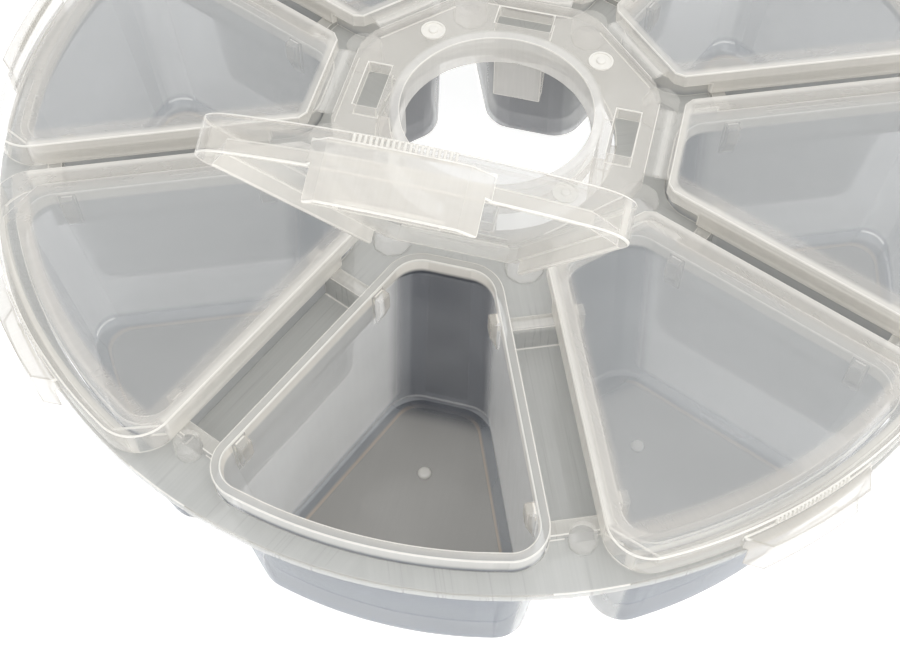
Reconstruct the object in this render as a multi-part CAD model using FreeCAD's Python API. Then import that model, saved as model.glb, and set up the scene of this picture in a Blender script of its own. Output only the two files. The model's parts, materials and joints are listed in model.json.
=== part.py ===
"""Round organiser with eight wedge cups and eight lids on living hinges round a hub.

Units are millimetres. Z points up, and the origin is on the axis at the underside of the cups.
Each cup and lid is drawn once along +X and then turned to its place round the axis.
"""
import FreeCAD, Part
import math
import os

from FreeCAD import Vector

# Count and layout
CELLS = 8
FIRST_CELL_ANGLE = -112.5
OPEN_LID = 1
OPEN_ANGLE = 64.0

# Overall sizes
FLANGE_RADIUS = 51.0
HUB_TOP = 25.7
HUB_APOTHEM = 16.05

# Levels, measured down from the top of the hub plate
LIP_DROP = 1.75
SKIRT_DROP = 3.05
DECK_DROP = 4.0
CHANNEL_DROP = 6.6

# Deck of the base tray
DECK_SHEET = 1.1
BAR_WIDTH = 1.45
BAR_CLEARANCE = 0.2
INNER_BAR_SETBACK = 5.25
OUTER_BAR_SETBACK = 4.4
BOSS_DROP = 2.2
BOSS_CLEARANCE = 0.35
POST_RADIUS = 1.9
STUD_SIDES = 8

# Cups of the base tray
FLANGE_LEDGE = 2.1
CUP_SIDE_OFFSET = 2.6
CUP_LID_LAP = 0.35
CUP_HUB_CORNER = 3.9
CUP_RIM_CORNER = 3.5
CUP_WALL = 0.95
CUP_FLOOR = 1.1
SIDE_DRAFT = 0.45
HUB_DRAFT = 2.0
RIM_DRAFT = 2.3
FLOOR_CHAMFER = 1.2
LUG_DROP = 0.3
OUTER_LUG_SETBACK = 5.9
LUG_WIDTH = 1.4
LUG_HEIGHT = 4.4
LUG_PROUD = 1.0
LUG_TIP = 0.25

# Hub plate
HUB_THICKNESS = 1.5
HUB_CORNER = 1.2
HUB_HOLE_RADIUS = 9.9
COLLAR_WALL = 1.0
COLLAR_DROP = 3.6
WINDOW_SETBACK = 1.0
WINDOW_DEPTH = 2.5
WINDOW_WIDTH = 6.0
HOOK_WIDTH = 5.3
HOOK_BITE = 0.4
HOOK_CATCH = 1.1
HOOK_LEAD = 4.4
HOOK_CLEARANCE = 0.1
HOOK_HOLE_CLEARANCE = 0.3

# Hinge films
FILM_WIDTH = 2.45
FILM_THICKNESS = 0.35
FILM_DROP = 0.4
FILM_END_GAP = 0.6

# Lids
LID_RIM_INSET = 0.1
LID_HUB_CORNER = 1.0
LID_RIM_CORNER = 3.8
LID_SEAT_CLEARANCE = 0.1
SKIRT_THICKNESS = 0.5
SKIRT_CLEARANCE = 0.55
RIM_SKIRT_THICKNESS = 0.8
NECK_LENGTH = 4.7
TAB_WIDTH = 13.6
TAB_WALL = 1.3
TAB_CLEARANCE = 0.4
TAB_TOP_DROP = 1.1
TAB_REACH = 0.8
TAB_CORNER = 1.6
BEAD_LENGTH = 7.8
BEAD_HEIGHT = 0.6
BEAD_CLEARANCE = 0.1

# Worked-out levels
HALF_CELL = math.radians(180.0 / CELLS)
LIP_TOP = HUB_TOP - LIP_DROP
DECK_TOP = HUB_TOP - DECK_DROP
DECK_BOTTOM = DECK_TOP - DECK_SHEET
CHANNEL_TOP = HUB_TOP - CHANNEL_DROP
CHANNEL_BOTTOM = CHANNEL_TOP - DECK_SHEET
HUB_BOTTOM = HUB_TOP - HUB_THICKNESS
FILM_TOP = HUB_TOP - FILM_DROP
HINGE_LEVEL = FILM_TOP - FILM_THICKNESS / 2
LID_BOTTOM = LIP_TOP + LID_SEAT_CLEARANCE
SKIRT_BOTTOM = HUB_TOP - SKIRT_DROP
BAR_TOP = SKIRT_BOTTOM - BAR_CLEARANCE
TAB_TOP = HUB_TOP - TAB_TOP_DROP
TAB_BOTTOM = DECK_BOTTOM - TAB_REACH

# Worked-out distances from the axis and from the dividers
POST_CIRCLE = HUB_APOTHEM / math.cos(HALF_CELL)
HINGE_APOTHEM = HUB_APOTHEM + FILM_WIDTH / 2
LID_HUB_APOTHEM = HUB_APOTHEM + FILM_WIDTH
LID_SIDE_OFFSET = CUP_SIDE_OFFSET - SKIRT_CLEARANCE - SKIRT_THICKNESS
LID_RADIUS = FLANGE_RADIUS - LID_RIM_INSET
TAB_RADIUS = FLANGE_RADIUS + TAB_CLEARANCE + TAB_WALL
CUP_HUB_APOTHEM = LID_HUB_APOTHEM - CUP_LID_LAP
CUP_RADIUS = FLANGE_RADIUS - FLANGE_LEDGE
INNER_BAR_START = CUP_HUB_APOTHEM + INNER_BAR_SETBACK
OUTER_BAR_START = CUP_RADIUS - OUTER_BAR_SETBACK
BOSS_RADIUS = LID_SIDE_OFFSET - BOSS_CLEARANCE
OUTER_LUG_START = CUP_RADIUS - OUTER_LUG_SETBACK
COLLAR_RADIUS = HUB_HOLE_RADIUS + COLLAR_WALL
WINDOW_START = COLLAR_RADIUS + WINDOW_SETBACK
WINDOW_END = WINDOW_START + WINDOW_DEPTH
DECK_HOLE_RADIUS = math.hypot(WINDOW_START, HOOK_WIDTH / 2) + HOOK_HOLE_CLEARANCE
UP = Vector(0, 0, 1)
ALONG = Vector(math.cos(HALF_CELL), math.sin(HALF_CELL), 0)
OUTWARD = Vector(-math.sin(HALF_CELL), math.cos(HALF_CELL), 0)
ORIGIN = Vector(0, 0, 0)
TOUCH = 0.01
HUB_CORNERS = (0, 4)
ALL_CORNERS = (0, 1, 3, 4)


def rim_angle(offset, radius, corner):
    """Angle from a cell's centre line to the point where its rim corner runs into the rim arc."""
    return HALF_CELL - math.asin((offset + corner) / (radius - corner))


def half_outline(apothem, offset, radius, hub_corner, rim_corner, turn, rim_half):
    """Points of half a cell's outline: hub edge, hub corner, side, rim corner and the end of the rim arc."""
    hub_reach = (apothem + hub_corner - (offset + hub_corner) * math.sin(HALF_CELL)) / math.cos(HALF_CELL)
    rim_reach = math.sqrt((radius - rim_corner) ** 2 - (offset + rim_corner) ** 2)
    hub_centre = ALONG * hub_reach - OUTWARD * (offset + hub_corner)
    rim_centre = ALONG * rim_reach - OUTWARD * (offset + rim_corner)
    rim_ray = Vector(math.cos(turn), math.sin(turn), 0)
    arc_end = rim_half / radius
    return [
        Vector(apothem, hub_centre.y, 0),
        hub_centre + (OUTWARD - Vector(1, 0, 0)).normalize() * hub_corner,
        hub_centre + OUTWARD * hub_corner,
        rim_centre + OUTWARD * rim_corner,
        rim_centre + (OUTWARD + rim_ray).normalize() * rim_corner,
        rim_centre + rim_ray * rim_corner,
        Vector(math.cos(arc_end), math.sin(arc_end), 0) * radius,
    ]


def outline(half, level):
    """End points of the straight edges, and three points of each arc, of a whole outline at a level."""
    left = [point + UP * level for point in half]
    right = [Vector(point.x, -point.y, point.z) for point in left]
    rim_middle = Vector(half[-1].Length, 0, level)
    straight = [
        (right[0], left[0]),
        (left[2], left[3]),
        (left[5], left[6]),
        (right[6], right[5]),
        (right[3], right[2]),
    ]
    curved = [
        (left[0], left[1], left[2]),
        (left[3], left[4], left[5]),
        (left[6], rim_middle, right[6]),
        (right[5], right[4], right[3]),
        (right[2], right[1], right[0]),
    ]
    return straight, curved


def cell_outline(sizes, hub_corner, rim_corner, level):
    """Outline whose rim corners run smoothly into its rim arc, from hub distance, side offset and radius."""
    offset, radius = sizes[1:]
    turn = rim_angle(offset, radius, rim_corner)
    return outline(half_outline(*sizes, hub_corner, rim_corner, turn, radius * turn), level)


def chamfered(shape_outline, corners):
    """Copy of an outline with some of its corner arcs cut straight across."""
    straight, curved = shape_outline
    cuts = [(curved[corner][0], curved[corner][2]) for corner in corners]
    kept = [arc for number, arc in enumerate(curved) if number not in corners]
    return straight + cuts, kept


def flat(shape_outline):
    """Flat face inside an outline."""
    straight, curved = shape_outline
    edges = [Part.makeLine(start, end) for start, end in straight if apart(start, end)]
    edges += [Part.Arc(*points).toShape() for points in curved]
    return Part.Face(Part.Wire(Part.sortEdges(edges)[0]))


def apart(first, second):
    """True for two points that differ."""
    return (first - second).Length > TOUCH


def walls(lower, upper):
    """Faces between two outlines: flat between straight edges and ruled between arcs."""
    faces = []
    for (start, end), (start_above, end_above) in zip(lower[0], upper[0]):
        faces.append(Part.Face(Part.makePolygon([end, end_above, start_above, end])))
        if apart(start, end):
            faces.append(Part.Face(Part.makePolygon([start, end, start_above, start])))
    for low, high in zip(lower[1], upper[1]):
        faces.append(Part.makeRuledSurface(Part.Arc(*low).toShape(), Part.Arc(*high).toShape()))
    return faces


def stacked(outlines):
    """Solid whose walls run straight from each outline to the next one above it."""
    faces = [flat(outlines[0]), flat(outlines[-1])]
    for lower, upper in zip(outlines, outlines[1:]):
        faces += walls(lower, upper)
    shell = Part.Shell(faces)
    shell.sewShape()
    return Part.makeSolid(shell).removeSplitter()


def prism(shape_outline, height):
    """Solid raised straight up from an outline."""
    return flat(shape_outline).extrude(UP * height)


def stud(radius, distance, bottom, top):
    """Upright stud with flat sides, at a distance along +X."""
    turns = [2 * math.pi * (side + 0.5) / STUD_SIDES for side in range(STUD_SIDES + 1)]
    points = [Vector(distance + radius * math.cos(t), radius * math.sin(t), bottom) for t in turns]
    return Part.Face(Part.makePolygon(points)).extrude(UP * (top - bottom))


def block(x_start, x_end, width, bottom, top):
    """Box along +X, centred on the X axis."""
    return Part.makeBox(x_end - x_start, width, top - bottom, Vector(x_start, -width / 2, bottom))


def turned(shape, angle):
    """Copy of a shape turned about the object's axis, by an angle in degrees."""
    copy = shape.copy()
    copy.rotate(ORIGIN, UP, angle)
    return copy


def cell_angle(number):
    """Direction of a numbered cell's centre line."""
    return FIRST_CELL_ANGLE + 360.0 / CELLS * (number - 1)


def divider_angle(number):
    """Direction of the divider that follows a numbered cell."""
    return cell_angle(number) + 180.0 / CELLS


def cup_sizes(inset, tuck, level):
    """Hub distance, side offset and rim radius of the cup at a level, moved inwards by a wall and a tuck."""
    depth = (LIP_TOP - level) / LIP_TOP
    apothem = CUP_HUB_APOTHEM + HUB_DRAFT * depth + inset + tuck
    offset = CUP_SIDE_OFFSET + SIDE_DRAFT * depth + inset + tuck
    radius = CUP_RADIUS - RIM_DRAFT * depth - inset - tuck
    return apothem, offset, radius


def drafted(inset, bottom, tuck):
    """Drafted body up to the lip. Its corners and rim arc keep their lengths, beside small flats."""
    hub_corner = CUP_HUB_CORNER - inset
    rim_corner = CUP_RIM_CORNER - inset
    foot_offset, foot_radius = cup_sizes(inset, tuck, bottom)[1:]
    turn = rim_angle(foot_offset, foot_radius, rim_corner)
    steps = [(0, bottom + tuck), (0, LIP_TOP)]
    if tuck:
        steps = [(tuck, bottom)] + steps
    outlines = []
    for step_tuck, level in steps:
        sizes = cup_sizes(inset, step_tuck, level)
        half = half_outline(*sizes, hub_corner, rim_corner, turn, foot_radius * turn)
        outlines.append(outline(half, level))
    return stacked(outlines)


def lug(reach):
    """Tapered lug that hangs inside a side wall of the cup, at a distance along the divider."""
    inward = -OUTWARD
    root = ALONG * reach + inward * (CUP_SIDE_OFFSET + CUP_WALL / 2) + UP * (LIP_TOP - LUG_DROP)
    proud = CUP_WALL / 2 + LUG_PROUD
    tip = CUP_WALL / 2 + LUG_TIP
    profile = [
        root,
        root + inward * proud,
        root + inward * proud - UP * (LUG_HEIGHT / 2),
        root + inward * tip - UP * LUG_HEIGHT,
        root - UP * LUG_HEIGHT,
        root,
    ]
    return Part.Face(Part.makePolygon(profile)).extrude(ALONG * LUG_WIDTH)


def make_cup():
    """Wedge cup with its lip and four lugs."""
    cup = drafted(0, 0, 0).cut(drafted(CUP_WALL, CUP_FLOOR, FLOOR_CHAMFER))
    for reach in (INNER_BAR_START, OUTER_LUG_START):
        upper = lug(reach)
        cup = cup.fuse([upper, upper.mirror(ORIGIN, Vector(0, 1, 0))])
    return cup.removeSplitter()


def make_deck():
    """Round deck with sunk channels between the cups, bridge bars, bosses and hub posts."""
    channel_width = 2 * (CUP_SIDE_OFFSET + SIDE_DRAFT + CUP_WALL)
    inner_bar_end = INNER_BAR_START + BAR_WIDTH
    outer_bar_end = OUTER_BAR_START + BAR_WIDTH
    deck = Part.makeCylinder(FLANGE_RADIUS, DECK_SHEET, UP * DECK_BOTTOM)
    deck = deck.cut(Part.makeCylinder(DECK_HOLE_RADIUS, DECK_SHEET, UP * DECK_BOTTOM))
    sunk = block(inner_bar_end, OUTER_BAR_START, channel_width, DECK_BOTTOM, DECK_TOP)
    web = block(INNER_BAR_START, outer_bar_end, channel_width, CHANNEL_BOTTOM, CHANNEL_TOP)
    inner_bar = block(INNER_BAR_START, inner_bar_end, channel_width, CHANNEL_BOTTOM, BAR_TOP)
    outer_bar = block(OUTER_BAR_START, outer_bar_end, channel_width, CHANNEL_BOTTOM, BAR_TOP)
    boss = stud(BOSS_RADIUS, outer_bar_end + BOSS_RADIUS / 2, DECK_BOTTOM, HUB_TOP - BOSS_DROP)
    post = stud(POST_RADIUS, POST_CIRCLE, DECK_BOTTOM, HUB_BOTTOM)
    angles = [divider_angle(number) for number in range(1, CELLS + 1)]
    deck = deck.cut([turned(sunk, angle) for angle in angles])
    raised = [web, inner_bar, outer_bar, boss, post]
    deck = deck.fuse([turned(piece, angle) for piece in raised for angle in angles])
    cup_edge = cell_outline(cup_sizes(0, 0, BAR_TOP), CUP_HUB_CORNER, CUP_RIM_CORNER, CHANNEL_BOTTOM)
    cup_hole = prism(cup_edge, BAR_TOP - CHANNEL_BOTTOM)
    cells = [cell_angle(number) for number in range(1, CELLS + 1)]
    return deck.cut([turned(cup_hole, angle) for angle in cells]).removeSplitter()


def make_hook():
    """Snap hook below a window: a straight tongue with a barb that catches under the deck."""
    catch = DECK_BOTTOM - HOOK_CLEARANCE
    foot = DECK_BOTTOM - HOOK_LEAD
    inner = COLLAR_RADIUS - HOOK_BITE
    profile = [
        Vector(inner, 0, HUB_BOTTOM),
        Vector(WINDOW_START, 0, HUB_BOTTOM),
        Vector(WINDOW_START, 0, catch),
        Vector(DECK_HOLE_RADIUS + HOOK_CATCH, 0, catch),
        Vector(WINDOW_START, 0, foot),
        Vector(inner, 0, foot),
        Vector(inner, 0, HUB_BOTTOM),
    ]
    hook = Part.Face(Part.makePolygon(profile)).extrude(Vector(0, HOOK_WIDTH, 0))
    hook.translate(Vector(0, -HOOK_WIDTH / 2, 0))
    return hook


def make_hub():
    """Octagonal hub plate with its collar and four windows with hooks."""
    corner = HUB_APOTHEM / math.cos(HALF_CELL)
    angles = [math.radians(divider_angle(number)) for number in range(0, CELLS + 1)]
    points = [Vector(corner * math.cos(a), corner * math.sin(a), HUB_BOTTOM) for a in angles]
    plate = Part.Face(Part.makePolygon(points)).extrude(UP * HUB_THICKNESS)
    upright = [edge for edge in plate.Edges if edge.BoundBox.ZLength > HUB_THICKNESS / 2]
    plate = plate.makeChamfer(HUB_CORNER, upright)
    collar_foot = UP * (HUB_TOP - COLLAR_DROP)
    hole = Part.makeCylinder(HUB_HOLE_RADIUS, COLLAR_DROP, collar_foot)
    collar = Part.makeCylinder(COLLAR_RADIUS, COLLAR_DROP, collar_foot)
    window = block(WINDOW_START, WINDOW_END, WINDOW_WIDTH, HUB_BOTTOM, HUB_TOP)
    window_angles = [cell_angle(number) for number in range(1, CELLS + 1, 2)]
    plate = plate.fuse([collar] + [turned(make_hook(), angle) for angle in window_angles])
    cuts = [hole] + [turned(window, angle) for angle in window_angles]
    return plate.cut(cuts).removeSplitter()


def lid_outline(inset, rim_inset, level):
    """Outline of the lid, moved inwards along its sides and along its rim."""
    sizes = (LID_HUB_APOTHEM + inset, LID_SIDE_OFFSET + inset, LID_RADIUS - rim_inset)
    return cell_outline(sizes, LID_HUB_CORNER, LID_RIM_CORNER - inset, level)


def make_tab():
    """Finger tab: a curved wall that hangs from the rim of the lid outside the flange."""
    foot = UP * TAB_BOTTOM
    ring = Part.makeCylinder(TAB_RADIUS, TAB_TOP - TAB_BOTTOM, foot)
    bore = Part.makeCylinder(TAB_RADIUS - TAB_WALL, SKIRT_BOTTOM - TAB_BOTTOM, foot)
    web = Part.makeCylinder(LID_RADIUS - RIM_SKIRT_THICKNESS / 2, TAB_TOP - TAB_BOTTOM, foot)
    span = block(LID_RADIUS / 2, TAB_RADIUS * 2, TAB_WIDTH, TAB_BOTTOM, TAB_TOP)
    tab = ring.cut([bore, web]).common(span)
    ends = [edge for edge in tab.Edges if outer_upright(edge)]
    return tab.makeChamfer(TAB_CORNER, ends).fuse(make_bead())


def make_bead():
    """Snap bead along the foot of the tab's inner face, just clear of the flange's edge."""
    foot = UP * TAB_BOTTOM
    ring = Part.makeCylinder(TAB_RADIUS - TAB_WALL / 2, BEAD_HEIGHT, foot)
    ring = ring.cut(Part.makeCylinder(FLANGE_RADIUS + BEAD_CLEARANCE, BEAD_HEIGHT, foot))
    return ring.common(block(LID_RADIUS / 2, TAB_RADIUS, BEAD_LENGTH, TAB_BOTTOM, HUB_TOP))


def outer_upright(edge):
    """True for an upright edge on the outer face of the tab."""
    middle = edge.CenterOfMass
    upright = edge.BoundBox.ZLength > (TAB_TOP - TAB_BOTTOM) / 2
    return upright and math.hypot(middle.x, middle.y) > TAB_RADIUS - TAB_WALL / 2


def make_lid():
    """Shut lid: a flat plate, a skirt cut away near the hinge and a finger tab."""
    edge = chamfered(lid_outline(0, 0, SKIRT_BOTTOM), HUB_CORNERS)
    inner_edge = chamfered(lid_outline(SKIRT_THICKNESS, RIM_SKIRT_THICKNESS, SKIRT_BOTTOM), ALL_CORNERS)
    body = prism(edge, HUB_TOP - SKIRT_BOTTOM)
    space = prism(inner_edge, LID_BOTTOM - SKIRT_BOTTOM)
    neck = block(0, HINGE_APOTHEM + NECK_LENGTH, 2 * LID_RADIUS, SKIRT_BOTTOM, LID_BOTTOM)
    return body.cut([space, neck]).fuse(make_tab()).removeSplitter()


def film_length():
    """Length of the hinge film, a little shorter than the lid's hub edge."""
    edge = LID_HUB_APOTHEM * math.tan(HALF_CELL) - LID_SIDE_OFFSET / math.cos(HALF_CELL)
    return 2 * (edge - LID_HUB_CORNER - FILM_END_GAP)


def make_flat_film():
    """Hinge film of a shut lid."""
    return block(HUB_APOTHEM, LID_HUB_APOTHEM, film_length(), FILM_TOP - FILM_THICKNESS, FILM_TOP)


def make_bent_film():
    """Hinge film of the open lid, bent upwards in an arc that meets the hub and the lid square."""
    bend = FILM_WIDTH / 2 / math.tan(math.radians(OPEN_ANGLE / 2))
    length = film_length()
    centre = Vector(HUB_APOTHEM, -length / 2, HINGE_LEVEL + bend)
    turns = [math.radians(OPEN_ANGLE * share) for share in (0, 0.5, 1)]
    rays = [Vector(math.sin(turn), 0, -math.cos(turn)) for turn in turns]
    under = [centre + ray * (bend + FILM_THICKNESS / 2) for ray in rays]
    upper = [centre + ray * (bend - FILM_THICKNESS / 2) for ray in rays]
    edges = [
        Part.Arc(under[0], under[1], under[2]),
        Part.LineSegment(under[2], upper[2]),
        Part.Arc(upper[2], upper[1], upper[0]),
        Part.LineSegment(upper[0], under[0]),
    ]
    return Part.Face(Part.Wire([edge.toShape() for edge in edges])).extrude(Vector(0, length, 0))


def opened(lid):
    """Copy of a shut lid turned up about its hinge line."""
    copy = lid.copy()
    copy.rotate(Vector(HINGE_APOTHEM, 0, HINGE_LEVEL), Vector(0, -1, 0), OPEN_ANGLE)
    return copy


def main():
    """Builds every piece in its place and writes one file for each."""
    cup = make_cup()
    lid = make_lid()
    pieces = {"hub_plate": make_hub(), "base_deck": make_deck()}
    for number in range(1, CELLS + 1):
        angle = cell_angle(number)
        standing = number == OPEN_LID
        pieces[f"cup_{number}"] = turned(cup, angle)
        pieces[f"lid_{number}"] = turned(opened(lid) if standing else lid, angle)
        film = make_bent_film() if standing else make_flat_film()
        pieces[f"hinge_film_{number}"] = turned(film, angle)
    os.makedirs("parts", exist_ok=True)
    for name, shape in pieces.items():
        shape.exportStep(f"parts/{name}.step")
        print(name, len(shape.Solids), round(shape.Volume, 2), shape.isValid())


main()
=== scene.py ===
import json
import math

import bmesh
import bpy
from mathutils import Matrix, Vector


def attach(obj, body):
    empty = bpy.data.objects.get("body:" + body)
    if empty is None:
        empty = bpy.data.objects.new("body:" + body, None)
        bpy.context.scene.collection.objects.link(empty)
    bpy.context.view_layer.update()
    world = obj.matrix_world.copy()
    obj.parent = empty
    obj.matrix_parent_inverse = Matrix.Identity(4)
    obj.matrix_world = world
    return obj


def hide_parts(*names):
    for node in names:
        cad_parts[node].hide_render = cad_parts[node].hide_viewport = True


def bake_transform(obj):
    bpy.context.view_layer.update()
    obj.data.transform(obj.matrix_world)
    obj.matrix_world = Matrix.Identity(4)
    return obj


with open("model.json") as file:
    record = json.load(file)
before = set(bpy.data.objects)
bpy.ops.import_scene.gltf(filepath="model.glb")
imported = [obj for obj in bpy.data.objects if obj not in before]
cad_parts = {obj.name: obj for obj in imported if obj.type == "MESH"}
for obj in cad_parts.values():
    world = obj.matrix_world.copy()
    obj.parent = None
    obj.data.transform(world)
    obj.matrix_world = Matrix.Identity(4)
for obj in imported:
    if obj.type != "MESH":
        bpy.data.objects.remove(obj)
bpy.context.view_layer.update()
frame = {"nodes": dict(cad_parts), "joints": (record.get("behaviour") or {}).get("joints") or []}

MM = 0.001

# The eight cells, counted anticlockwise from the one whose lid stands open, and those with a hub mark
CELLS = range(1, 9)
MARK_CELLS = (2, 4, 6, 8)
FIRST_CELL_DEGREES = -112.5
CELL_DEGREES = 45.0
HALF_CELL = math.radians(CELL_DEGREES / 2)
OPEN_LID = 1
OPEN_ANGLE = math.radians(64.0)

# Levels and distances of the moulding, in millimetres
HUB_TOP = 25.7
CUP_FLOOR = 1.1
LIP_TOP = 23.95
CUP_HUB_APOTHEM = 18.15
CUP_RADIUS = 48.9
CUP_SIDE_OFFSET = 2.6
HUB_DRAFT = 2.0
SIDE_DRAFT = 0.45
RIM_DRAFT = 2.3
HUB_APOTHEM = 16.05
FILM_WIDTH = 2.45
FILM_LENGTH = 8.77
FILM_THICKNESS = 0.35
HINGE_LEVEL = 25.125
HINGE_APOTHEM = HUB_APOTHEM + FILM_WIDTH / 2
LID_RADIUS = 50.9
TAB_TOP = 24.6
DECK_TOP = 21.7
POST_CIRCLE = 17.37
POST_RADIUS = 1.9
POST_TOP = 24.15
BOSS_CIRCLE = 46.55
BOSS_RADIUS = 1.2
BOSS_TOP = 23.55
# A little under the cups' corner radii, so that it tells inside from outside at the hub and at the rim
CUP_CORNER = 3.0

# Marks and ridges that only the looks have, in millimetres, and the rounding of the new pieces
DOT_REACH = 29.9
DOT_RADIUS = 0.75
DOT_HEIGHT = 0.45
DOT_ROUND = 0.4
DOT_SIDES = 32
MARK_REACH = 12.8
MARK_RADIUS = 1.3
MARK_HEIGHT = 0.12
MARK_RING = 0.22
MARK_HOLLOW = 0.1
MARK_SIDES = 40
NUB_RADIUS = 0.5
NUB_HEIGHT = 0.22
NUB_ROUND = 0.15
RIDGE_COUNT = 19
RIDGE_PITCH = 0.42
RIDGE_PROUD = 0.16
RIDGE_ROUND = 0.09
STUD_ROUND = 0.16
STUD_SIDES = 48
FILM_CORNER = 0.8
FILM_STEPS = 12
# A ridge's part of its pitch, and of the height of the rim above the tab
RIDGE_BROAD = 0.55
RIDGE_TALL = 0.86
# How far a new piece reaches into what carries it, and a round stud past the one that it covers
SUNK = 0.05
# A face looks a way when this much of its normal goes that way
FACING = 0.9
SMOOTH_ANGLE = math.radians(40)

# Rounding of the edges of the CAD nodes, in millimetres, and the angle from which an edge is sharp
PLATE_ROUND = 0.12
WALL_ROUND = 0.15
WELD_GAP = 0.002
SHARP_ANGLE = math.radians(50)

# Grain of the plastic along a cell, across it and up, in millimetres. The polish lines of a mould are less
# than a tenth of a millimetre apart, too fine to show, so they are drawn coarser.
STREAK_SIZE = (9.0, 0.9, 3.0)
MOTTLE_SIZE = (7.0, 7.0, 7.0)
POLISH_SIZE = (14.0, 0.25, 5.0)
POLISH_DEPTH = 0.03
# Part of the noise that is stretched to the full range of a pattern
NOISE_LOW = 0.3
NOISE_HIGH = 0.7
# How much the mottle changes the milkiness
MOTTLE_DEPTH = 0.04
# Milkiness of a face seen edge on, and where it starts to come in
EDGE_ON_MILK = 0.9
EDGE_ON_START = 0.7
EDGE_ON_BLEND = 0.35
# Part of its milkiness that a piece keeps when it casts a shadow
SHADOW_SHARE = 0.45
POLYPROPYLENE_IOR = 1.49

# Floor, sky, lamp and camera, in metres where no other unit is said
FLOOR_SIZE = 3.0
FLOOR_LEVEL = -0.05 * MM
PAPER_ROUGHNESS = 0.9
PAPER_GLOW = 0.6
SKY_COLOUR = "#F1F3F6"
# The sky brightens with how much of a direction goes the bright way, up to the full part
SKY_BRIGHT_WAY = (0.25, -0.35, 0.9)
SKY_FULL = 0.9
SKY_DIM = 0.5
SKY_BRIGHT = 1.0
LAMP_PLACE = Vector((0.15, -0.25, 0.8))
LAMP_TARGET = Vector((0, 0, 0))
LAMP_SIZE = 1.5
LAMP_WATTS = 6.0
SENSOR_WIDTH_MM = 36.0
LENS_MM = 53.95
NEAREST_SEEN = 0.002
CAMERA_PLACE = Vector((-17.95, -92.29, 128.3)) * MM
CAMERA_TARGET = Vector((-8.505, -26.03, 25.7)) * MM


def cell_angle(cell):
    """Direction of a cell's centre line."""
    return math.radians(FIRST_CELL_DEGREES + CELL_DEGREES * (cell - 1))


def lifting(angle):
    """Turn of the standing lid about its hinge line."""
    hinge = next(joint for joint in frame["joints"] if joint["name"] == f"lid_{OPEN_LID}_hinge")
    foot = Matrix.Translation(Vector(hinge["pos_m"]))
    return foot @ Matrix.Rotation(angle, 4, Vector(hinge["axis"])) @ foot.inverted()


def linear(code):
    """Linear colour from an sRGB hex value."""
    channels = [int(code[start:start + 2], 16) / 255 for start in (1, 3, 5)]
    return [c / 12.92 if c <= 0.04045 else ((c + 0.055) / 1.055) ** 2.4 for c in channels] + [1.0]


# Pieces


def pick_faces(piece, wanted):
    """Selects only the faces of a piece in edit mode whose normal is wanted."""
    mesh = bmesh.from_edit_mesh(piece.data)
    for face in mesh.faces:
        face.select_set(False)
    for face in mesh.faces:
        if wanted(face.normal):
            face.select_set(True)
    bmesh.update_edit_mesh(piece.data)


def start_piece():
    """The primitive that was just added, with its place in its mesh, in edit mode."""
    bpy.ops.object.transform_apply(location=True, rotation=True, scale=True)
    piece = bpy.context.object
    bpy.ops.object.mode_set(mode="EDIT")
    return piece


def end_piece(piece):
    """Leaves edit mode with the piece's faces pointing outwards and its small rounds smooth."""
    bpy.ops.mesh.select_all(action="SELECT")
    bpy.ops.mesh.normals_make_consistent(inside=False)
    bpy.ops.object.mode_set(mode="OBJECT")
    bpy.ops.object.shade_smooth_by_angle(angle=SMOOTH_ANGLE)
    bpy.ops.object.select_all(action="DESELECT")
    return piece


def gate_dot():
    """Rounded dot that the mould's gate leaves on the floor of a cup."""
    height = DOT_HEIGHT + SUNK
    bpy.ops.mesh.primitive_cylinder_add(
        vertices=DOT_SIDES, radius=DOT_RADIUS * MM, depth=height * MM,
        location=(DOT_REACH * MM, 0, (CUP_FLOOR - SUNK + height / 2) * MM))
    piece = start_piece()
    pick_faces(piece, lambda normal: normal.z > FACING)
    bpy.ops.mesh.bevel(offset=DOT_ROUND * MM, segments=5, affect="EDGES")
    return end_piece(piece)


def clear_stud(radius, reach, top):
    """Round stud of the deck, whose rim takes the piece's second material, a painted highlight."""
    height = top - DECK_TOP + SUNK
    bpy.ops.mesh.primitive_cylinder_add(
        vertices=STUD_SIDES, radius=(radius + SUNK) * MM, depth=height * MM,
        location=(reach * MM, 0, (top - height / 2) * MM))
    piece = start_piece()
    pick_faces(piece, lambda normal: abs(normal.z) > FACING)
    bpy.ops.mesh.bevel(offset=STUD_ROUND * MM, segments=3, affect="EDGES", material=1)
    return end_piece(piece)


def hub_mark():
    """Gate mark on the hub: a low ring with a nub in its middle."""
    bpy.ops.mesh.primitive_cylinder_add(
        vertices=MARK_SIDES, radius=MARK_RADIUS * MM, depth=(MARK_HEIGHT + SUNK) * MM,
        location=(MARK_REACH * MM, 0, (HUB_TOP + (MARK_HEIGHT - SUNK) / 2) * MM))
    piece = start_piece()
    pick_faces(piece, lambda normal: normal.z > FACING)
    bpy.ops.mesh.inset(thickness=MARK_RING * MM)
    bpy.ops.mesh.extrude_region_move(TRANSFORM_OT_translate={"value": (0, 0, -MARK_HOLLOW * MM)})
    bpy.ops.mesh.inset(thickness=(MARK_RADIUS - MARK_RING - NUB_RADIUS) * MM)
    bpy.ops.mesh.extrude_region_move(TRANSFORM_OT_translate={"value": (0, 0, NUB_HEIGHT * MM)})
    bpy.ops.mesh.bevel(offset=NUB_ROUND * MM, segments=3, affect="EDGES")
    return end_piece(piece)


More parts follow.
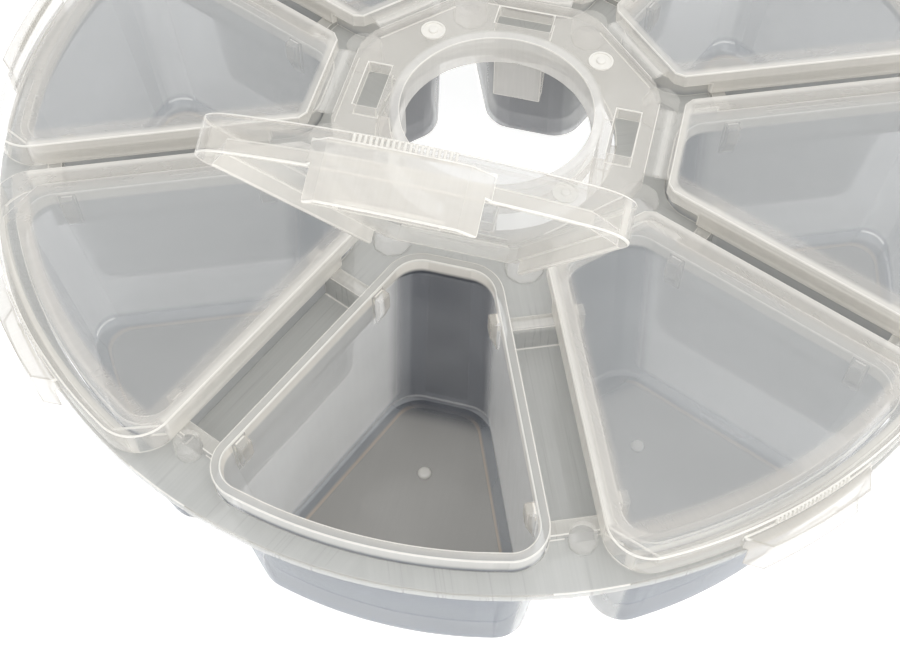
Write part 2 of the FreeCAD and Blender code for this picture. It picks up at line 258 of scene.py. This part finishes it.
def grip_ridges():
    """Row of fine upright ridges on the rim of the lid, above the finger tab."""
    tall = (HUB_TOP - TAB_TOP) * RIDGE_TALL
    reach = LID_RADIUS + (RIDGE_PROUD - SUNK) / 2
    middle = (HUB_TOP + TAB_TOP) / 2
    bpy.ops.mesh.primitive_cube_add(
        size=1, location=(reach * MM, 0, middle * MM),
        scale=((RIDGE_PROUD + SUNK) * MM, RIDGE_PITCH * RIDGE_BROAD * MM, tall * MM))
    piece = start_piece()
    pick_faces(piece, lambda normal: normal.x > FACING)
    bpy.ops.mesh.bevel(offset=RIDGE_ROUND * MM, segments=2, affect="EDGES")
    bpy.ops.mesh.select_all(action="SELECT")
    step = RIDGE_PITCH / LID_RADIUS
    whole = step * (RIDGE_COUNT - 1)
    bpy.ops.transform.rotate(value=-whole / 2, orient_axis="Z", center_override=(0, 0, 0))
    bpy.ops.mesh.spin(
        steps=RIDGE_COUNT - 1, dupli=True, angle=whole, center=(0, 0, 0), axis=(0, 0, 1))
    return end_piece(piece)


def hinge_film():
    """Flat strip of a living hinge with rounded ends, divided across its width so that it can bend."""
    bpy.ops.mesh.primitive_cube_add(
        size=1, location=(HINGE_APOTHEM * MM, 0, HINGE_LEVEL * MM),
        scale=(FILM_WIDTH * MM, FILM_LENGTH * MM, FILM_THICKNESS * MM))
    piece = start_piece()
    mesh = bmesh.from_edit_mesh(piece.data)
    for edge in mesh.edges:
        rise = edge.verts[1].co - edge.verts[0].co
        edge.select_set(abs(rise.z) > FILM_THICKNESS * MM / 2)
    bmesh.update_edit_mesh(piece.data)
    bpy.ops.mesh.bevel(offset=FILM_CORNER * MM, segments=5, affect="EDGES")
    for cut in range(1, FILM_STEPS):
        bpy.ops.mesh.select_all(action="SELECT")
        bpy.ops.mesh.bisect(
            plane_co=((HUB_APOTHEM + FILM_WIDTH * cut / FILM_STEPS) * MM, 0, 0), plane_no=(1, 0, 0))
    return end_piece(piece)


def spread(model, name, cells, turn=0.0):
    """Copies a piece that was modelled along +X to each of these cells, each with its own mesh."""
    pieces = {}
    for cell in cells:
        piece = bpy.data.objects.new(f"{name}_{cell}", model.data.copy())
        bpy.context.scene.collection.objects.link(piece)
        piece.data.transform(Matrix.Rotation(cell_angle(cell) + turn, 4, "Z"))
        pieces[cell] = piece
    bpy.data.objects.remove(model)
    return pieces


def bend(piece):
    """Curls the strip of the standing lid into the arc that joins the hub to the lid."""
    curl = FILM_WIDTH / 2 / math.tan(OPEN_ANGLE / 2)
    upright = Matrix.Rotation(cell_angle(OPEN_LID), 4, "Z")
    piece.data.transform(upright.inverted())
    for vertex in piece.data.vertices:
        turn = OPEN_ANGLE * (vertex.co.x / MM - HUB_APOTHEM) / FILM_WIDTH
        reach = curl - (vertex.co.z / MM - HINGE_LEVEL)
        vertex.co.x = (HUB_APOTHEM + reach * math.sin(turn)) * MM
        vertex.co.z = (HINGE_LEVEL + curl - reach * math.cos(turn)) * MM
    piece.data.transform(upright)


# The CAD nodes come selected, and an operator acts on all that is selected
bpy.ops.object.select_all(action="DESELECT")
dots = spread(gate_dot(), "gate_dot", CELLS)
marks = spread(hub_mark(), "hub_gate_mark", MARK_CELLS)
ridges = spread(grip_ridges(), "grip_ridges", CELLS)
films = spread(hinge_film(), "hinge_strip", CELLS)
posts = spread(clear_stud(POST_RADIUS, POST_CIRCLE, POST_TOP), "hub_post", CELLS, HALF_CELL)
bosses = spread(clear_stud(BOSS_RADIUS, BOSS_CIRCLE, BOSS_TOP), "lid_boss", CELLS, HALF_CELL)
ridges[OPEN_LID].data.transform(lifting(OPEN_ANGLE))
bend(films[OPEN_LID])


# Materials


def add(tree, kind, inputs=None, **settings):
    """Adds a node with its settings, values and links, and returns its first output in use."""
    node = tree.nodes.new("ShaderNode" + kind)
    for name, value in settings.items():
        setattr(node, name, value)
    for name, value in (inputs or {}).items():
        socket = node.inputs[name] if isinstance(name, int) else next(
            entry for entry in node.inputs if entry.name == name and entry.enabled)
        if isinstance(value, bpy.types.NodeSocket):
            tree.links.new(value, socket)
        else:
            socket.default_value = value
    return next((entry for entry in node.outputs if entry.enabled), None)


def cell_place(tree, place):
    """Place of a point in its cell, in millimetres.

    It goes along the cell's centre line and across it, down the divider and aside from it, and it has a
    reach from the axis and a height.
    """
    scaled = add(tree, "VectorMath", {0: place, 1: (1 / MM, 1 / MM, 1 / MM)}, operation="MULTIPLY")
    split = add(tree, "SeparateXYZ", {0: scaled}).node.outputs
    turn = add(tree, "Math", {0: split["Y"], 1: split["X"]}, operation="ARCTAN2")
    fold = add(tree, "Math", {0: turn, 1: 2 * HALF_CELL, 2: 0.0}, operation="WRAP")
    off_centre = add(tree, "Math", {0: fold, 1: HALF_CELL}, operation="SUBTRACT")
    swing = add(tree, "Math", {0: off_centre}, operation="ABSOLUTE")
    off_divider = add(tree, "Math", {0: HALF_CELL, 1: swing}, operation="SUBTRACT")
    level = add(tree, "VectorMath", {0: scaled, 1: (1, 1, 0)}, operation="MULTIPLY")
    reach = add(tree, "VectorMath", {0: level}, operation="LENGTH")
    cell = {"reach": reach, "height": split["Z"]}
    for name, angle, part in (
            ("along", off_centre, "COSINE"), ("across", off_centre, "SINE"),
            ("aside", off_divider, "SINE"), ("down", off_divider, "COSINE")):
        share = add(tree, "Math", {0: angle}, operation=part)
        cell[name] = add(tree, "Math", {0: share, 1: reach}, operation="MULTIPLY")
    return cell


def wall_depths(tree, cell):
    """Depths of a point under the outer faces of its cup, which lean in and have round corners."""
    deep = add(tree, "Math", {0: LIP_TOP, 1: cell["height"]}, operation="SUBTRACT")
    depths = {}
    for name, way, top, lean in (
            ("hub_wall", "along", CUP_HUB_APOTHEM, HUB_DRAFT),
            ("side_wall", "aside", CUP_SIDE_OFFSET, SIDE_DRAFT),
            ("rim_wall", "reach", CUP_RADIUS, -RIM_DRAFT)):
        face = add(tree, "Math", {0: deep, 1: lean / LIP_TOP, 2: top}, operation="MULTIPLY_ADD")
        terms = {0: cell[way], 1: face} if lean > 0 else {0: face, 1: cell[way]}
        depths[name] = add(tree, "Math", terms, operation="SUBTRACT")
    depths["ends"] = add(
        tree, "Math", {0: depths["hub_wall"], 1: depths["rim_wall"]}, operation="MINIMUM")
    shortfalls = []
    for name in ("ends", "side_wall"):
        missing = add(tree, "Math", {0: CUP_CORNER, 1: depths[name]}, operation="SUBTRACT")
        shortfalls.append(add(tree, "Math", {0: missing, 1: 0.0}, operation="MAXIMUM"))
    corner = add(tree, "CombineXYZ", {"X": shortfalls[0], "Y": shortfalls[1]})
    off_corner = add(tree, "VectorMath", {0: corner}, operation="LENGTH")
    depths["wall"] = add(tree, "Math", {0: CUP_CORNER, 1: off_corner}, operation="SUBTRACT")
    return depths


def stud_gaps(tree, cell):
    """Distances of a point from the axes of the nearest post and the nearest boss."""
    gaps = {}
    for name, circle in (("post", POST_CIRCLE), ("boss", BOSS_CIRCLE)):
        out = add(tree, "Math", {0: cell["down"], 1: circle}, operation="SUBTRACT")
        flat = add(tree, "CombineXYZ", {"X": out, "Y": cell["aside"]})
        gaps[name] = add(tree, "VectorMath", {0: flat}, operation="LENGTH")
    return gaps


def fold_gap(tree, cell):
    """Distance of a point from the line along which its hinge folds."""
    off = add(tree, "Math", {0: cell["along"], 1: HINGE_APOTHEM}, operation="SUBTRACT")
    return {"fold": add(tree, "Math", {0: off}, operation="ABSOLUTE")}


def paint(tree, place, ground, coats):
    """Colour and milkiness of a ground and the coats over it, each of which comes in by its limits."""
    colour, milkiness = linear(ground[0]), ground[1]
    for limits, code, milk in coats:
        mask = 1.0
        for way, start, whole in limits:
            share = add(tree, "MapRange", {"Value": place[way], "From Min": start, "From Max": whole},
                        interpolation_type="SMOOTHSTEP")
            mask = add(tree, "Math", {0: mask, 1: share}, operation="MULTIPLY")
        colour = add(tree, "Mix", {"Factor": mask, "A": colour, "B": linear(code)}, data_type="RGBA")
        milkiness = add(tree, "Mix", {"Factor": mask, "A": milkiness, "B": milk})
    return colour, milkiness


def polypropylene(name, ground, coats, roughness, brushed,
                  grain=("along", "across"), more=None, standing=False):
    """Moulded polypropylene, clear and a little milky, with flow streaks, a faint mottle and polish lines.

    The ground and each coat have an sRGB colour and a milkiness, and a coat has limits: a distance, in
    millimetres, where it starts and where it is whole. brushed says how strongly the polish lines of the
    mould show, which run along the first way of the grain. more adds the distances that only some pieces
    need, and standing turns the pattern back to where the standing lid is when it is shut. A face that is
    seen edge on is milkier, because the look goes through more of the plastic there, and a shadow is paler
    than the plastic, because the light that it scatters still goes on through it.
    """
    material = bpy.data.materials.new(name)
    material.use_nodes = True
    tree = material.node_tree
    tree.nodes.clear()
    spot = add(tree, "TexCoord").node.outputs["Object"]
    if standing:
        shut = lifting(-OPEN_ANGLE)
        spot = add(tree, "Mapping", {
            "Vector": spot, "Location": shut.translation, "Rotation": shut.to_euler("XYZ")})
    place = cell_place(tree, spot)
    if more:
        place.update(more(tree, place))
    flow = add(tree, "CombineXYZ", {"X": place[grain[0]], "Y": place[grain[1]], "Z": place["height"]})
    pattern = {}
    for kind, size in (("streaks", STREAK_SIZE), ("mottle", MOTTLE_SIZE), ("polish", POLISH_SIZE)):
        stretched = add(tree, "VectorMath", {0: flow, 1: size}, operation="DIVIDE")
        noise = add(tree, "TexNoise", {"Vector": stretched, "Scale": 1.0, "Detail": 1.0})
        pattern[kind] = add(tree, "MapRange", {
            "Value": noise, "From Min": NOISE_LOW, "From Max": NOISE_HIGH})
    colour, milkiness = paint(tree, place, ground, coats)
    streaked = add(tree, "MapRange", {
        "Value": pattern["streaks"], "To Min": 1 - brushed / 2, "To Max": 1 + brushed / 2})
    lined = add(tree, "MapRange", {
        "Value": pattern["polish"], "To Min": 1 - brushed, "To Max": 1 + brushed})
    tone = add(tree, "Math", {0: streaked, 1: lined}, operation="MULTIPLY")
    toned = add(tree, "VectorMath", {0: colour, 1: tone}, operation="MULTIPLY")
    clouded = add(tree, "MapRange", {
        "Value": pattern["mottle"], "To Min": 1 - MOTTLE_DEPTH, "To Max": 1 + MOTTLE_DEPTH})
    milk = add(tree, "Math", {0: milkiness, 1: clouded}, operation="MULTIPLY")
    edge_on = add(tree, "LayerWeight", {"Blend": EDGE_ON_BLEND}).node.outputs["Facing"]
    seen = add(tree, "MapRange", {
        "Value": edge_on, "From Min": EDGE_ON_START, "From Max": 1.0,
        "To Min": milk, "To Max": EDGE_ON_MILK})
    shadow = add(tree, "LightPath").node.outputs["Is Shadow Ray"]
    held_back = add(tree, "MapRange", {"Value": shadow, "To Min": 1.0, "To Max": SHADOW_SHARE})
    alpha = add(tree, "Math", {0: seen, 1: held_back}, operation="MULTIPLY")
    gloss = add(tree, "MapRange", {
        "Value": pattern["polish"], "To Min": roughness - brushed, "To Max": roughness + brushed})
    relief = add(tree, "Bump", {
        "Strength": brushed, "Distance": POLISH_DEPTH * MM, "Height": pattern["polish"]})
    shader = add(tree, "BsdfPrincipled", {
        "Base Color": toned, "Roughness": gloss, "Alpha": alpha, "Normal": relief,
        "IOR": POLYPROPYLENE_IOR})
    add(tree, "OutputMaterial", {"Surface": shader})
    return material


# Thin moulded walls, pale, with pale lugs under the lip. Painted shade darkens the outer hub side, the
# bluish outer rim side, the hollow towards the floor, the grey floor and, darkest, the inner hub side; a
# warm painted glint lines the floor's edge, and painted highlights make the lip creamy inside and out.
INSIDE = ("wall", 0.4, 0.6)
LUG_INNER = ("side_wall", 1.15, 1.3)
LUG_OUTER = ("side_wall", 2.4, 2.2)
CLEAR_OF_ENDS = ("ends", 3.2, 3.6)
CUP_TONES_AND_PAINTED_LIGHT = (
    # Painted shade on the outer hub side, and a bluish painted shade on the outer rim side
    ([("hub_wall", 0.6, 0.3)], "#A3A4A6", 0.68),
    ([("rim_wall", 0.6, 0.3)], "#727A85", 0.62),
    # Painted highlight on the outer lip
    ([("height", 21.5, 22.6)], "#ECEAE4", 0.6),
    ([INSIDE], "#D2D1CE", 0.68),
    # Painted shade deeper in the hollow
    ([INSIDE, ("height", 3.4, 2.3)], "#747A81", 0.68),
    # A warm painted glint at the floor's edge
    ([INSIDE, ("height", 1.55, 1.3)], "#B3A493", 0.68),
    # The floor painted grey as shade
    ([INSIDE, ("height", 1.22, 1.12)], "#979590", 0.68),
    # Painted shade, darkest, on the inner hub side
    ([INSIDE, ("hub_wall", 4.2, 1.6)], "#2F3540", 0.76),
    # Painted highlight on the inner lip
    ([INSIDE, ("height", 22.3, 22.9)], "#FDF7EC", 0.72),
    ([("height", 18.9, 19.2), LUG_INNER, LUG_OUTER, CLEAR_OF_ENDS], "#D0CABF", 0.45),
    ([("height", 23.9, 23.94)], "#CFCDC7", 0.5),
)
cup_plastic = polypropylene(
    "moulded_polypropylene_cup", ("#CFD1D1", 0.48), CUP_TONES_AND_PAINTED_LIGHT,
    roughness=0.26, brushed=0.008, more=wall_depths)

# Brushed grey sheet with pale bars and a clear rolled edge, painted lighter as a painted highlight. Its
# posts and bosses are left clear, because round pieces stand in their places.
SHEET = ("#BDBDB9", 0.74)
STUDS = (("post", POST_RADIUS), ("boss", BOSS_RADIUS))
STUD_CLEAR = tuple(
    ([(stud, radius + 0.1, radius + 0.05), ("height", DECK_TOP + 0.05, DECK_TOP + 0.15)], "#E2DED5", 0.03)
    for stud, radius in STUDS)
DECK_TONES_AND_PAINTED_HIGHLIGHT = (
    ([("height", 21.8, 22.3)], "#E2DED5", 0.42),
    # Painted highlight on the rolled edge, which is also clearer
    ([("reach", 50.75, 50.95)], "#D9D8D3", 0.5),
) + STUD_CLEAR
deck_plastic = polypropylene(
    "moulded_polypropylene_deck", SHEET, DECK_TONES_AND_PAINTED_HIGHLIGHT,
    roughness=0.3, brushed=0.03, grain=("down", "aside"), more=stud_gaps)

# Nearly clear plate with a pale tab. Its milkier borders over the lip of the cup are painted creamy, as
# painted light that the edges gather, and the bright lines on its rim are painted highlights.
LID_PLATE = ("#C6C8C8", 0.26)
LID_TONES_AND_PAINTED_LIGHT = (
    # Milkier borders, painted creamy with light that the edges gather
    ([("aside", 4.0, 3.3)], "#DEDAD3", 0.34),
    ([("aside", 2.5, 1.9)], "#F0ECE4", 0.56),
    ([("along", 19.6, 19.0)], "#EAE6DE", 0.48),
    # Border and bright lines on the rim, painted light as above, with a clearer and a greyer band between
    ([("reach", 46.9, 47.4)], "#DEDAD3", 0.34),
    ([("reach", 48.5, 48.8)], "#C6C7C6", 0.16),
    ([("reach", 49.5, 49.8)], "#EBE6DC", 0.4),
    ([("reach", 50.1, 50.4)], "#CAC6BE", 0.32),
    ([("reach", 51.0, 51.3)], "#E0DBD2", 0.42),
)
lid_plastic = polypropylene(
    "moulded_polypropylene_lid", LID_PLATE, LID_TONES_AND_PAINTED_LIGHT, roughness=0.2, brushed=0.015)
open_lid_plastic = polypropylene(
    "moulded_polypropylene_standing_lid", LID_PLATE, LID_TONES_AND_PAINTED_LIGHT,
    roughness=0.2, brushed=0.015, standing=True)

# Milky plate whose collar is milkier and painted lighter, a painted highlight at the edge of its hole
HUB_COLLAR_MILK_AND_HIGHLIGHT = (
    ([("reach", 11.2, 10.6)], "#EFECE6", 0.55),
)
hub_plastic = polypropylene(
    "moulded_polypropylene_hub", ("#EAE5DC", 0.27), HUB_COLLAR_MILK_AND_HIGHLIGHT, roughness=0.22, brushed=0.02)

# Thin stretched strip, whiter along its middle where it folds
FILM_COATS = (
    ([("fold", 0.7, 0.1)], "#F8F5EE", 0.3),
)
film_plastic = polypropylene(
    "folded_polypropylene_film", ("#E4E1DA", 0.18), FILM_COATS,
    roughness=0.24, brushed=0.02, more=fold_gap)

# Painted highlight on the rounded edges, for the light that the plastic gathers there: less of it on the
# lugs, darker on the tabs, and like the deck round the feet of its studs
STUD_FEET = tuple(
    ([(stud, radius + 0.35, radius + 0.3), ("height", DECK_TOP + 0.2, DECK_TOP + 0.15)], *SHEET)
    for stud, radius in STUDS)
EDGE_HIGHLIGHT_COATS = (
    ([("aside", 3.2, 3.4), ("height", 23.8, 23.7)], "#E3DBCD", 0.3),
    ([("reach", 51.2, 51.5)], "#BFB9AE", 0.7),
) + STUD_FEET + STUD_CLEAR
edge_highlight_plastic = polypropylene(
    "moulded_polypropylene_painted_edge_highlight", ("#FBF7EF", 0.7), EDGE_HIGHLIGHT_COATS,
    roughness=0.2, brushed=0.01, more=stud_gaps)

# Clear stud, milkier towards its foot
STUD_COATS = (
    ([("height", DECK_TOP + 1.0, DECK_TOP)], "#D5D3CE", 0.24),
)
stud_plastic = polypropylene(
    "moulded_polypropylene_stud", ("#EEEBE4", 0.14), STUD_COATS, roughness=0.2, brushed=0.01)

# Painted highlight on the rounded rim of a stud, for the light that it gathers, and less of it at its foot
STUD_RIM_HIGHLIGHT_COATS = (
    ([("height", DECK_TOP + 1.0, DECK_TOP)], "#EEEAE2", 0.4),
)
stud_rim_highlight_plastic = polypropylene(
    "moulded_polypropylene_stud_rim_painted_highlight", ("#FFFCF4", 0.7), STUD_RIM_HIGHLIGHT_COATS, roughness=0.2, brushed=0.01)

# Thick pale plastic of the small marks and ridges, greyer at the foot of a dot
NUB_COATS = (
    ([("height", CUP_FLOOR, CUP_FLOOR + DOT_HEIGHT)], "#F7F4ED", 0.7),
)
nub_plastic = polypropylene(
    "thick_polypropylene_nub", ("#D9D6CF", 0.4), NUB_COATS, roughness=0.24, brushed=0.01)


def wear(piece, *materials):
    """Gives a piece its material, and a second one, a painted highlight, for its rounded edges where it
    has them.
    """
    piece.data.materials.clear()
    for material in materials:
        piece.data.materials.append(material)


def round_edges(node, width):
    """Rounds the sharp edges of a moulded piece, which take the piece's second material, a painted
    highlight.
    """
    joined = node.modifiers.new("joined", "WELD")
    joined.merge_threshold = WELD_GAP * MM
    rounded = node.modifiers.new("rounded", "BEVEL")
    rounded.width = width * MM
    rounded.segments = 2
    rounded.limit_method = "ANGLE"
    rounded.angle_limit = SHARP_ANGLE
    rounded.use_clamp_overlap = False
    rounded.material = 1


nodes = frame["nodes"]
wear(nodes["base_deck"], deck_plastic, edge_highlight_plastic)
round_edges(nodes["base_deck"], PLATE_ROUND)
wear(nodes["hub_plate"], hub_plastic, edge_highlight_plastic)
round_edges(nodes["hub_plate"], PLATE_ROUND)
for cell in CELLS:
    wear(nodes[f"cup_{cell}"], cup_plastic, edge_highlight_plastic)
    round_edges(nodes[f"cup_{cell}"], WALL_ROUND)
    wear(nodes[f"lid_{cell}"], open_lid_plastic if cell == OPEN_LID else lid_plastic, edge_highlight_plastic)
    round_edges(nodes[f"lid_{cell}"], WALL_ROUND)
    wear(dots[cell], nub_plastic)
    wear(ridges[cell], nub_plastic)
    wear(films[cell], film_plastic)
    wear(posts[cell], stud_plastic, stud_rim_highlight_plastic)
    wear(bosses[cell], stud_plastic, stud_rim_highlight_plastic)
    for piece in (dots[cell], posts[cell], bosses[cell]):
        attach(piece, "base")
    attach(ridges[cell], f"lid_{cell}")
    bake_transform(films[cell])
    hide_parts(f"hinge_film_{cell}")
for cell in MARK_CELLS:
    wear(marks[cell], nub_plastic)
    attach(marks[cell], "base")


# Floor, light and camera

scene = bpy.context.scene


def aim(name, data, place, target):
    """Puts the lamp or the camera in its place, turned towards its target."""
    holder = bpy.data.objects.new(name, data)
    scene.collection.objects.link(holder)
    holder.location = place
    holder.rotation_euler = (target - place).to_track_quat("-Z", "Y").to_euler()
    return holder


# White paper, with a glow of its own that keeps it white under and around the object
bpy.ops.mesh.primitive_plane_add(size=FLOOR_SIZE, location=(0, 0, FLOOR_LEVEL))
floor = bpy.context.object
floor.name = "floor"
paper = bpy.data.materials.new("white_paper_floor")
paper.use_nodes = True
sheet = paper.node_tree.nodes["Principled BSDF"]
sheet.inputs["Base Color"].default_value = linear("#FFFFFF")
sheet.inputs["Roughness"].default_value = PAPER_ROUGHNESS
sheet.inputs["Emission Color"].default_value = linear("#FFFFFF")
sheet.inputs["Emission Strength"].default_value = PAPER_GLOW
wear(floor, paper)

# Pale sky, brightest above and towards the front right
world = bpy.data.worlds.new("studio")
world.use_nodes = True
sky = world.node_tree
sky.nodes.clear()
direction = add(sky, "TexCoord").node.outputs["Generated"]
towards = add(sky, "VectorMath", {0: direction, 1: SKY_BRIGHT_WAY}, operation="DOT_PRODUCT")
glow = add(sky, "MapRange", {
    "Value": towards, "From Min": 0.0, "From Max": SKY_FULL, "To Min": SKY_DIM, "To Max": SKY_BRIGHT})
backdrop = add(sky, "Background", {"Color": linear(SKY_COLOUR), "Strength": glow})
add(sky, "OutputWorld", {"Surface": backdrop})
scene.world = world

lamp = bpy.data.lights.new("overhead", "AREA")
lamp.size = LAMP_SIZE
lamp.energy = LAMP_WATTS
aim("overhead", lamp, LAMP_PLACE, LAMP_TARGET)

scene.view_settings.view_transform = "Standard"
# A look can go through many thin clear walls before it meets the floor
scene.cycles.transparent_max_bounces = 32
scene.cycles.max_bounces = 6
scene.cycles.diffuse_bounces = 3

camera = bpy.data.cameras.new("camera")
camera.sensor_width = SENSOR_WIDTH_MM
camera.lens = LENS_MM
camera.clip_start = NEAREST_SEEN
scene.camera = aim("camera", camera, CAMERA_PLACE, CAMERA_TARGET)

bpy.context.view_layer.update()
